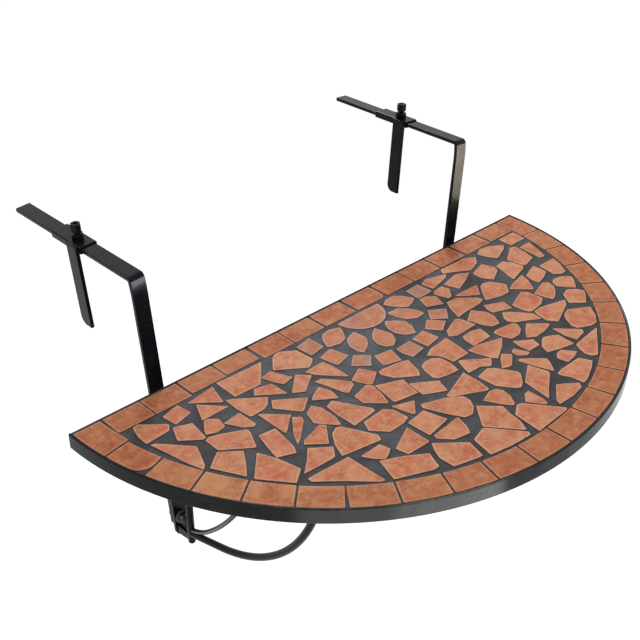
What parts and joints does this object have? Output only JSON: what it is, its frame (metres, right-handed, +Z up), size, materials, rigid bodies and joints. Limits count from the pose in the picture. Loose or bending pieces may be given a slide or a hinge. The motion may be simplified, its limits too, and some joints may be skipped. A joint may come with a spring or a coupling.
{
  "type": "balcony railing bar table",
  "caption": "Half-round mosaic-topped balcony table on braced brackets that hook over a railing and clamp behind it with sliding screw clamps.",
  "frame": {"origin": "upper front edge of the railing that the table hangs on, halfway between the two brackets: the arms' lowest edges are at z = 0 and the posts' backs at y = 0", "axes": "+X along the railing to the right as seen by a person at the table, +Y back across the railing, +Z up"},
  "size_m": [0.76, 0.612, 0.3984],
  "materials": {
    "frame_steel": "satin black powder coat",
    "black_fastener": "black coated steel",
    "cement_board": "matt cement board",
    "slate_grout": "matt dark grout",
    "border_tile": "matt brown terracotta",
    "field_tile": "matt mottled terracotta",
    "flower_tile": "matt pale terracotta"
  },
  "bodies": {
    "table": {"rim_arc": "frame_steel", "rim_back": "frame_steel", "board": "cement_board", "grout": "slate_grout", "border_arc_tiles": "border_tile", "border_back_tiles": "border_tile", "flower_half_disc": "flower_tile", "flower_petals": "flower_tile", "flower_ring_tiles": "flower_tile", "crazy_tiles_left": "field_tile", "crazy_tiles_middle": "field_tile", "crazy_tiles_right": "field_tile", "left_stretcher": "frame_steel", "left_hanger": "frame_steel", "left_leg_plate": "frame_steel", "left_upright": "frame_steel", "left_brace": "frame_steel", "left_inner_brace": "frame_steel", "left_gusset": "frame_steel", "left_post_bolts": "black_fastener", "left_post_washers": "black_fastener", "left_post_cap_nuts": "black_fastener", "right_stretcher": "frame_steel", "right_hanger": "frame_steel", "right_leg_plate": "frame_steel", "right_upright": "frame_steel", "right_brace": "frame_steel", "right_inner_brace": "frame_steel", "right_gusset": "frame_steel", "right_post_bolts": "black_fastener", "right_post_washers": "black_fastener", "right_post_cap_nuts": "black_fastener"},
    "left_clamp": {"left_sleeve": "frame_steel", "left_dropper": "frame_steel", "left_weld_nut": "frame_steel"},
    "left_screw": {"left_clamp_screw": "black_fastener"},
    "right_clamp": {"right_sleeve": "frame_steel", "right_dropper": "frame_steel", "right_weld_nut": "frame_steel"},
    "right_screw": {"right_clamp_screw": "black_fastener"}
  },
  "joints": [
    {"name": "left_clamp_slide", "type": "slide", "parent": "table", "child": "left_clamp", "axis": [0, 1, 0], "range_m": [-0.08, 0.08]},
    {"name": "left_screw_turn", "type": "hinge", "parent": "left_clamp", "child": "left_screw", "pos_m": [-0.26516, 0.108, 0.01363], "axis": [-0.0698, 0, 0.9976], "range_deg": [0, 360]},
    {"name": "right_clamp_slide", "type": "slide", "parent": "table", "child": "right_clamp", "axis": [0, 1, 0], "range_m": [-0.08, 0.08]},
    {"name": "right_screw_turn", "type": "hinge", "parent": "right_clamp", "child": "right_screw", "pos_m": [0.26516, 0.108, 0.01363], "axis": [0.0698, 0, 0.9976], "range_deg": [0, 360]}
  ]
}
